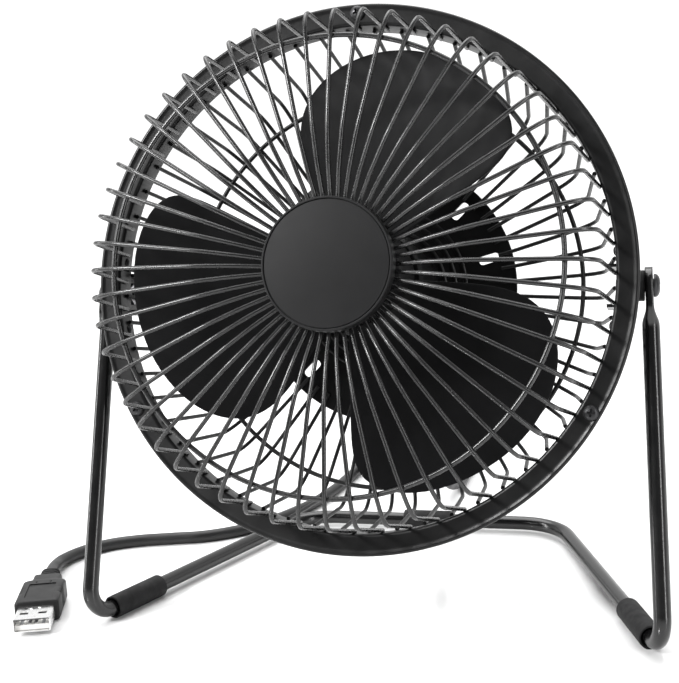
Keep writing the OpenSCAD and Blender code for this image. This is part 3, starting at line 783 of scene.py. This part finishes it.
def add_stand():
    """One bent tube, flattened and drilled at both ends."""
    # (distance down the leg, half thickness, half width, power) where the end is flattened
    flat = [(-TAB_R * math.cos(math.radians(a)), TAB_T / 2, TAB_R * math.sin(math.radians(a)), 7)
            for a in (6, 18, 32, 48, 66, 84)]
    flat += [(3, 1.2, 5.6, 7), (5.6, 1.2, 5.6, 7), (6.8, 1.25, 5.5, 6), (8, 1.45, 5.1, 4.5),
             (9.2, 1.9, 4.4, 3.4), (10.2, 2.3, 3.6, 2.7), (11, 2.5, 3.05, 2.3),
             (11.8, 2.58, 2.75, 2.1), (13.2, TUBE_R, TUBE_R, 2)]
    stations = [(LEG_TOP + s * LEG_DIR, a, b, power) for s, a, b, power in flat]
    corner = bend(FRONT_CORNER, LEG_DIR, SIDE_DIR, FRONT_BEND, 14)
    rear = bend(REAR_CORNER, SIDE_DIR, Vector((-1, 0, 0)), REAR_BEND, 18)
    path = corner + rear + [Vector((0, REAR_CORNER.y, BASE_Z))]
    stations += [(p, TUBE_R, TUBE_R, 2) for p in path]
    points = [s[0] for s in stations]
    sides = 28
    rings = []
    side = Vector((1, 0, 0))
    for i, (point, a, b, power) in enumerate(stations):
        head = (points[min(i + 1, len(points) - 1)] - points[max(i - 1, 0)]).normalized()
        if i == len(points) - 1:
            head = Vector((-1, 0, 0))
        side = (side - side.dot(head) * head).normalized()
        other = head.cross(side)
        rings.append([point + side * x + other * y for x, y in oblong(a, b, power, sides)])
    points, faces = skin(rings, caps=False)
    faces.append(tuple(range(sides - 1, -1, -1)))
    half = (points, faces)
    whole = merged([half, placed(half, Matrix.Diagonal((-1, 1, 1, 1)))])
    stand = make("stand_frame", whole, WORLD, FINISH["stand_paint"], 50)
    hole = turned(disc(2.08, -100, 100, 32), "Y", 90)
    cut(stand, at(hole, 0, PIVOT.y, PIVOT.z), WORLD, 50)
    return mount(stand, "stand", "black_paint", "stand_tube")


def add_sleeve(node, start, direction, length):
    """Rubber sleeve with an open end that stands off the tube, and a flat worn underneath."""
    r, mouth, bore, lap = SLEEVE_R, TUBE_R + 0.55, TUBE_R + 0.02, 0.5
    outline = rounded([
        (mouth, -lap, 0.25), (r, -lap, 0.45), (r, length + lap, 0.45), (mouth, length + lap, 0.25),
        (mouth, length - 1.2, 0.1), (bore, length - 1.4, 0.1), (bore, 1.4, 0.1), (mouth, 1.2, 0.1),
    ], 0.2, 4)
    across = direction.cross(Vector((0, 0, 1))).normalized()
    place = axes_at(start * MM, across, direction.cross(across), direction)
    sleeve = make(node + "_sleeve", lathe(outline, 48), place, FINISH["rubber"], 50)
    for vertex in sleeve.data.vertices:
        vertex.co.z = max(vertex.co.z, 0)
    return mount(sleeve, "stand", "rubber", node)


def add_feet():
    start = FRONT_CORNER + 11.5 * SIDE_DIR
    add_sleeve("foot_right", start, SIDE_DIR, 22)
    flip = Vector((-1, 1, 1))
    add_sleeve("foot_left", start * flip, SIDE_DIR * flip, 22)
    add_sleeve("foot_rear", Vector((-9, REAR_CORNER.y, BASE_Z)), Vector((1, 0, 0)), 18)


# ------------------------------------------------------------------ hoop and pivots

HOOP_R = head_box("hoop")[1].x
WALL_BACK = head_box("hoop")[0].z
WALL_R = 78.2
SHEET = 1.0
FLANGE_SCREW_R = 82
FLANGE_SCREW_ANGLES = (90, -30, -150)
RIVET_ANGLES = (4.82, -11.25)
RIVET_Z = -5


def add_hoop():
    """Pressed ring: a wall that the grilles are welded to, and a flange with a rolled edge."""
    bead = 0.8
    centre = (HOOP_R - bead, -0.5)
    roll = [(centre[0] + bead * math.cos(math.radians(a)), centre[1] + bead * math.sin(math.radians(a)))
            for a in range(126, -127, -14)]
    outline = rounded([
        (WALL_R, 0, 1.1), (HOOP_R - 2.2, 0, 0), *roll, (HOOP_R - 2, -SHEET, 0),
        (WALL_R + SHEET, -SHEET, 0.5), (WALL_R + SHEET, WALL_BACK, 0.3), (WALL_R, WALL_BACK, 0.3),
    ], 0)
    hoop = make("hoop_ring", lathe(outline, 240), HEAD, FINISH["black_paint"], 40)
    return mount(hoop, "head", "black_paint", "hoop")


def screw_head(radius, height):
    """Domed screw head on z = 0, and the cross that is cut out of it."""
    arc = [math.radians(a) for a in range(0, 91, 10)]
    dome = [(radius * math.cos(a) ** 0.8, 0.3 + (height - 0.3) * math.sin(a)) for a in arc]
    dome[-1] = (0, height)
    head = lathe([(0, -1), (radius - 0.15, -1), (radius - 0.15, 0), (radius, 0.1)] + dome, 40)
    arm, wide = radius * 0.52, 0.34
    cross = merged([
        box(-arm, arm, -wide, wide, height * 0.35, height + 1),
        box(-wide, wide, -arm, arm, height * 0.35, height + 1),
    ])
    return head, cross


def add_screws(name, node, radius, height, spots):
    """Cross-head screws at spots, each a matrix in millimetres that puts z = 0 on the seat."""
    head, cross = screw_head(radius, height)
    screws = make(name, merged([placed(head, s) for s in spots]), HEAD, FINISH["black_screws"], 40)
    cut(screws, merged([placed(cross, s) for s in spots]), HEAD, 40)
    return mount(screws, "head", "black_screws", node)


def add_flange_screws():
    spots = []
    for angle in FLANGE_SCREW_ANGLES:
        turn = Matrix.Rotation(math.radians(angle), 4, "Z")
        spots.append(turn @ Matrix.Translation((FLANGE_SCREW_R, 0, 0)) @ Matrix.Rotation(0.4, 4, "Z"))
    add_screws("flange_screw_heads", "flange_screws", 2.3, 1.5, spots)


def add_rivets():
    """Domed rivet heads inside the hoop's wall, with their tails against the brackets."""
    arc = [math.radians(a) for a in range(0, 81, 16)]
    dome = [(1.4 * math.cos(a), 0.75 * math.sin(a)) for a in arc]
    head = lathe([(0, -3.2), (0.9, -3.2), (0.9, -0.1), (1.4, -0.1)] + dome + [(0, 0.75)], 28)
    inward = at(turned(head, "Y", -90), WALL_R, 0, RIVET_Z)
    rivets = []
    for angle in RIVET_ANGLES:
        rivets += [turned(inward, "Z", angle), turned(inward, "Z", 180 - angle)]
    made = make("rivets", merged(rivets), HEAD, FINISH["black_screws"], 40)
    return mount(made, "head", "black_screws", "bracket_rivets")


def side_frame(side):
    """Millimetres with z outwards along the tilt axis, on the right (1) or left (-1)."""
    return axes_at(PIVOT * MM, Vector((0, 0, -side)), Vector((0, 1, 0)), Vector((side, 0, 0)))


BRACKET_FACE = 82.0
TAB_OUTSIDE = TAB_X + TAB_T / 2
TAB_INSIDE = TAB_X - TAB_T / 2


def add_bolt(place, hand):
    """Domed cross-head bolt through the flattened tube end."""
    seat = TAB_OUTSIDE
    arc = [math.radians(a) for a in range(0, 91, 9)]
    dome = [(3.5 * math.cos(a) ** 0.75, seat + 0.4 + 1.6 * math.sin(a)) for a in arc]
    dome[-1] = (0, seat + 2.0)
    shank = [(0, 77.6), (1.8, 77.6), (2, 77.9), (2, seat + 0.1), (3.4, seat + 0.1), (3.5, seat + 0.2)]
    bolt = make(f"bolt_{hand}", lathe(shank + dome, 48), place, FINISH["black_screws"], 40)
    cross = merged([
        box(-1.7, 1.7, -0.36, 0.36, seat + 0.9, seat + 4),
        box(-0.36, 0.36, -1.7, 1.7, seat + 0.9, seat + 4),
    ])
    cut(bolt, cross, place, 40)
    mount(bolt, "head", "black_screws", f"pivot_bolt_{hand}")


def add_washer(place, hand):
    """Friction washer between the bracket and the tube end, with a groove round its rim."""
    low, high = BRACKET_FACE, TAB_INSIDE - 0.1
    middle = 0.5 * (low + high)
    outline = rounded([
        (2.02, low), (4.6, low), (4.6, middle - 0.25, 0.05), (4.35, middle, 0.05),
        (4.6, middle + 0.25, 0.05), (4.6, high), (2.02, high),
    ], 0.3, 3)
    washer = make(f"washer_{hand}", lathe(outline, 48), place, FINISH["rubber"], 40)
    mount(washer, "head", "rubber", f"spacer_{hand}")


def add_pivots():
    for side, hand in ((1, "right"), (-1, "left")):
        place = side_frame(side)
        add_bolt(place, hand)
        add_washer(place, hand)


# ------------------------------------------------------------------ grilles

WIRE_R = 0.65
RING_WIRE_R = 0.75
WIRE_COUNT = 56
WIRE_WALL_R = WALL_R - WIRE_R + 0.15
FRONT_RING_R = head_box("front_ring")[1].x - RING_WIRE_R
FRONT_RING_Z = head_box("front_ring")[1].z - RING_WIRE_R
REAR_RING_R = head_box("rear_ring")[1].x - RING_WIRE_R
REAR_RING_Z = head_box("rear_ring")[1].z - RING_WIRE_R
HUB_WIRE_Z = head_box("front_hub_plate")[1].z + WIRE_R - 0.1
PLATE_LOW, PLATE_HIGH = head_box("rear_plate")
PLATE_R = PLATE_HIGH.x
PLATE_FRONT = PLATE_LOW.z + 1
PLATE_WIRE_Z = PLATE_FRONT + WIRE_R - 0.1
PLATE_RIDGES = (20.5, 24, 27.5)
PLATE_SLOTS = 12
PLATE_SLOT_START = 16
# Grille wires, as [radius, height ahead of the hoop's face]
FRONT_WIRE = [
    (13, HUB_WIRE_Z), (19, HUB_WIRE_Z + 0.1), (28, 30.8), (39.5, 32.4),
    (FRONT_RING_R, FRONT_RING_Z + WIRE_R + RING_WIRE_R - 0.1),
    (72.2, 29), (74.8, 26.2), (75.4, 22), (WIRE_WALL_R, -4.4),
]
REAR_WIRE = [
    (40, PLATE_WIRE_Z), (46, PLATE_WIRE_Z), (REAR_RING_R, REAR_RING_Z - WIRE_R - RING_WIRE_R + 0.1),
    (71, -37.8), (73.6, -34.5), (74.2, -31), (WIRE_WALL_R, -4.8),
]


def add_wires(name, node, profile, share, finish):
    """One grille. Its first wire stands at the given share of a step above the horizontal."""
    line = soft_corners([(r, 0, z) for r, z in profile], 1.6)
    wire = tube(line, WIRE_R, 10)
    wires = [turned(wire, "Z", (i + share) * 360 / WIRE_COUNT) for i in range(WIRE_COUNT)]
    made = make(name, merged(wires), HEAD, FINISH[finish], 60)
    return mount(made, "head", "wire_paint", node)


def add_ring(name, node, radius, z, finish):
    section = [(radius + x, z + y) for x, y in oblong(RING_WIRE_R, RING_WIRE_R, 2, 14)]
    made = make(name, lathe(section, 220), HEAD, FINISH[finish], 60)
    return mount(made, "head", "wire_paint", node)


def add_hub_cap():
    """Flat disc in a raised lip, with a skirt that hides the wire ends."""
    low, high = head_box("hub_cap")
    r, front, skirt = high.x, high.z, HUB_WIRE_Z + WIRE_R + 0.2
    face = front - 0.15
    outline = rounded([
        (0, face, 0), (r - 1.05, face, 0.1), (r - 1.0, face - 0.35, 0.05), (r - 0.8, face - 0.35, 0.05),
        (r - 0.72, front, 0.1), (r - 0.2, front, 0.2), (r, front - 0.9, 0.3), (r, skirt, 0.2),
        (r - 1.6, skirt, 0.1), (r - 1.6, skirt + 1.6, 0.3), (6, skirt + 1.6, 0.3), (6, low.z, 0.2),
        (0, low.z, 0),
    ], 0.2)
    cap = make("cap_disc", lathe(outline, 160), HEAD, FINISH["cap_plastic"], 30)
    return mount(cap, "head", "cap_plastic", "hub_cap")


def add_rear_plate():
    """Pressed plate with concentric ribs, rolled at its edge and slotted."""
    top, low, rib = PLATE_FRONT, PLATE_LOW.z, 0.5
    corners = [(0, low, 0), (0, top, 0)]
    for r in PLATE_RIDGES:
        for k in range(7):
            a = math.pi * (1 - k / 6)
            corners.append((r + 0.8 * math.cos(a), top + rib * math.sin(a), 0))
    corners += [(PLATE_R, top, 0.4), (PLATE_R, low, 0.4)]
    plate = make("back_plate", lathe(rounded(corners, 0), 180), HEAD, FINISH["black_paint"], 30)
    slot = rounded([(33.2, -1.45), (40, -1.45), (40, 1.45), (33.2, 1.45)], 1.44, 6)
    slots = [turned(prism(slot, low - 2, top + 2), "Z", PLATE_SLOT_START + 360 / PLATE_SLOTS * i)
             for i in range(PLATE_SLOTS)]
    cut(plate, merged(slots), HEAD, 30)
    return mount(plate, "head", "black_paint", "rear_plate")


# ------------------------------------------------------------------ rear housing

SWITCH_Y = 9
COVER_SCREW_R = 21.5
COVER_SCREW_ANGLES = (90, 210, 330)


def add_rear_cover():
    """Moulded cover over the wiring, with a rounded rim, a shallow step and screw seats."""
    low, high = head_box("rear_cover")
    r, back, top, wall = high.x, low.z, high.z, 1.8
    outline = rounded([
        (0, back + wall, 0), (0, back, 0), (r - 5, back, 0.3), (r - 5, back + 0.5, 0.2),
        (r - 4.2, back + 0.5, 0.2), (r - 4.2, back, 0.3), (r, back, 2.6), (r, top - 1.6, 0.15),
        (r - 0.4, top - 1.4, 0.15), (r - 0.4, top, 0.2), (r - wall, top, 0.2),
        (r - wall, back + wall, 1),
    ], 0.2, 6)
    cover = make("motor_cover", lathe(outline, 128), HEAD, FINISH["black_plastic"], 35)
    seat = at(disc(2.9, back - 1, back + 0.35, 32), COVER_SCREW_R, 0, 0)
    seats = [turned(seat, "Z", angle) for angle in COVER_SCREW_ANGLES]
    window = box(-6.7, 6.7, SWITCH_Y - 4.4, SWITCH_Y + 4.4, back - 1, back + 4)
    hole = at(disc(3.4, back - 1, back + 4, 32), 0, GLAND_Y, 0)
    cut(cover, merged(seats + [window, hole]), HEAD, 35)
    mount(cover, "head", "black_plastic", "rear_cover")
    spots = []
    for angle in COVER_SCREW_ANGLES:
        turn = Matrix.Rotation(math.radians(angle), 4, "Z")
        place = Matrix.Translation((COVER_SCREW_R, 0, back + 0.35))
        spots.append(turn @ place @ Matrix.Rotation(math.pi, 4, "X"))
    add_screws("cover_screw_heads", "cover_screws", 2.2, 1.4, spots)


def rect(half_x, half_y):
    """Corners of a rectangle round the middle of the switch."""
    return [(-half_x, SWITCH_Y - half_y), (half_x, SWITCH_Y - half_y),
            (half_x, SWITCH_Y + half_y), (-half_x, SWITCH_Y + half_y)]


def add_switch_frame():
    """Bevelled frame of the switch, with the well that the rocker sits in."""
    low, high = head_box("switch_bezel")
    back = low.z + 1.2
    rim = rounded([(low.x, low.y), (high.x, low.y), (high.x, high.y), (low.x, high.y)], 1.2, 5)
    body = prism(rect(6.6, 4.3), back - 0.2, high.z)
    shape = merged([prism(rim, low.z, back), body])
    switch = make("switch_frame", shape, HEAD, FINISH["black_plastic"])
    cut(switch, prism(rounded(rect(5.9, 3.4), 0.4, 3), low.z - 1, high.z - 1), HEAD)
    soften(switch, 0.25, 3)
    mount(switch, "head", "black_plastic", "switch_bezel")


def add_rocker():
    """Rocker with two raised ends and a dip between them, tipped to one side."""
    pin = HEAD.inverted() @ Vector(JOINTS["rocker_press"]["pos_m"])
    half = 5.4
    side = [(-half, -1.2), (-half, -3.6), (-half * 0.5, -3.0), (0, -2.7), (half * 0.5, -3.0),
            (half, -3.6), (half, -1.2), (2, 2), (-2, 2)]
    rocker = skin([[Vector((x, y, z)) for x, z in side] for y in (-3.1, 3.1)])
    tipped = placed(rocker, Matrix.Translation(pin) @ Matrix.Rotation(math.radians(-8), 4, "Y"))
    made = make("rocker", tipped, HEAD, FINISH["black_plastic"])
    soften(made, 0.3, 3)
    mount(made, "rocker", "black_plastic", "switch_rocker")


def add_gland():
    """Tapered strain relief with ribs, from the cover to where the lead leaves it."""
    low, high = head_box("cord_gland")
    back = head_box("rear_cover")[0].z
    outline = [(CORD_R - 0.4, low.z), (2.85, low.z)]
    z = low.z + 1.6
    for i in range(4):
        r = 3.5 + 0.1 * i
        outline += rounded([
            (r - 0.6, z, 0), (r - 0.55, z + 0.15, 0.1), (r, z + 0.25, 0.2), (r, z + 1.55, 0.2),
            (r - 0.5, z + 1.7, 0.1), (r - 0.5, z + 2.6, 0),
        ], 0.2, 3)
        z += 3
    outline += [(3.4, back - 2), (4.1, back - 2), (4.2, back - 1.8), (4.2, back), (3.4, back),
                (3.4, back + 1.8), (4.6, back + 1.8), (4.6, high.z), (CORD_R - 0.4, high.z)]
    gland = make("strain_relief", at(lathe(outline, 48), 0, GLAND_Y, 0), HEAD, FINISH["rubber"], 40)
    return mount(gland, "head", "rubber", "cord_gland")


# ------------------------------------------------------------------ rotor

HUB_LOW, HUB_HIGH = head_box("impeller_hub")
HUB_R = HUB_HIGH.x
TIP_R = 71
BLADE_Z = 2
BLADE_T = 1.2
BLADE_START = 73
BLADES = 3


def add_hub():
    """Hub with a rounded front edge and a groove round its flat nose, hollow behind."""
    r, back, front = HUB_R, HUB_LOW.z, HUB_HIGH.z
    outline = rounded([
        (0, front, 0), (r - 6, front, 0.4), (r - 5.6, front - 0.5, 0.3), (r - 4.8, front - 0.5, 0.3),
        (r - 4.4, front, 0.4), (r - 1, front, 2.4), (r, back, 0.5), (r - 1.8, back, 0.3),
        (r - 1.8, front - 2, 0.5), (4.5, front - 2, 0.4), (4.5, back + 1, 0.3), (0, back + 1, 0),
    ], 0.3)
    hub = make("rotor_hub", lathe(outline, 96), HEAD, FINISH["blade_plastic"], 35)
    return mount(hub, "rotor", "blade_plastic", "impeller_hub")


def edge_angle(share, widest, power):
    """Angle of a blade's edge at a share of the way from hub to tip."""
    return widest * math.sqrt(max(0, 1 - max(0, share) ** power))


def blade_shape():
    """Twisted blade: thick at the root, thin and rounded at its edges."""
    rows, cols = 34, 40
    root = HUB_R - 0.6
    sides = ([], [])
    for i in range(rows + 1):
        r = root + (TIP_R - 0.02 - root) * math.sin(math.pi / 2 * i / rows)
        share = (r - HUB_R) / (TIP_R - HUB_R)
        lead, trail = edge_angle(share, 44, 4), -edge_angle(share, 40, 9)
        for j in range(cols + 1):
            across = 0.5 - 0.5 * math.cos(math.pi * j / cols)
            a = math.radians(trail + (lead - trail) * across)
            edge = (1 - abs(2 * across - 1) ** 6) ** 0.5 * (1 - max(0, share) ** 14) ** 0.5
            thick = BLADE_T * (0.25 + 0.75 * edge) + 1.6 * math.exp(-(r - HUB_R) / 1.3) * edge
            mid = BLADE_Z - (10.5 + 0.15 * (r - HUB_R)) * math.sin(a)
            for side, sign in zip(sides, (1, -1)):
                side.append(Vector((r * math.cos(a), r * math.sin(a), mid + sign * thick / 2)))
    w, count = cols + 1, len(sides[0])
    faces = []
    for i in range(rows):
        for j in range(cols):
            a = i * w + j
            faces.append((a, a + 1, a + w + 1, a + w))
            faces.append((a + w + count, a + w + 1 + count, a + 1 + count, a + count))
    rim = list(range(cols)) + [i * w + cols for i in range(rows)]
    rim += [rows * w + cols - j for j in range(cols)] + [(rows - i) * w for i in range(rows)]
    for a, b in zip(rim, rim[1:] + rim[:1]):
        faces.append((b, a, a + count, b + count))
    return sides[0] + sides[1], faces


def add_blades():
    shape = blade_shape()
    for number in range(BLADES):
        turn = BLADE_START + 360 / BLADES * number
        name = f"rotor_blade_{number + 1}"
        blade = make(name, turned(shape, "Z", turn), HEAD, FINISH["blade_plastic"], 70)
        mount(blade, "rotor", "blade_plastic", f"blade_{number + 1}")


# ------------------------------------------------------------------ put together


def repaint_carried():
    """CAD pieces that show as they are get this scene's finish for their slot."""
    for node in frame["nodes"].values():
        for holder in node.material_slots:
            slot = holder.material.name.split(".")[0]
            holder.link = "OBJECT"
            holder.material = FINISH[slot]


def add_floor():
    """A wide pale floor with a faint gloss, just under the fan."""
    f = Finish("floor", specular=0.5)
    f.colour(f.mix(f.fit(f.noise(60), 0.3, 0.7), (0.81, 0.81, 0.81), (0.83, 0.83, 0.83)))
    f.roughness(f.fit(f.noise(25, 3), 0.3, 0.7, 0.08, 0.12))
    floor = make("floor", prism(oblong(5000, 5000, 2, 64), -20, -0.05), WORLD, f.material)


add_camera()
lead_piece, lead_line = add_lead()
on_lead = [add_tie(), add_plug_relief(), add_plug_body(), add_plug_shell(), *add_plug_tongue()]
add_stand()
add_feet()
add_hoop()
add_flange_screws()
add_rivets()
add_pivots()
add_wires("front_grille", "front_wires", FRONT_WIRE, 0, "wire_paint")
# The rear grille and ring take the duller copy of the wire paint, as painted shade
add_wires("rear_grille", "rear_wires", REAR_WIRE, 0.5, "rear_wire_paint_painted_shade")
add_ring("front_hoop_wire", "front_ring", FRONT_RING_R, FRONT_RING_Z, "wire_paint")
add_ring("rear_hoop_wire", "rear_ring", REAR_RING_R, REAR_RING_Z, "rear_wire_paint_painted_shade")
add_hub_cap()
add_rear_plate()
add_rear_cover()
add_switch_frame()
add_rocker()
add_gland()
add_hub()
add_blades()
repaint_carried()
add_studio()
add_floor()
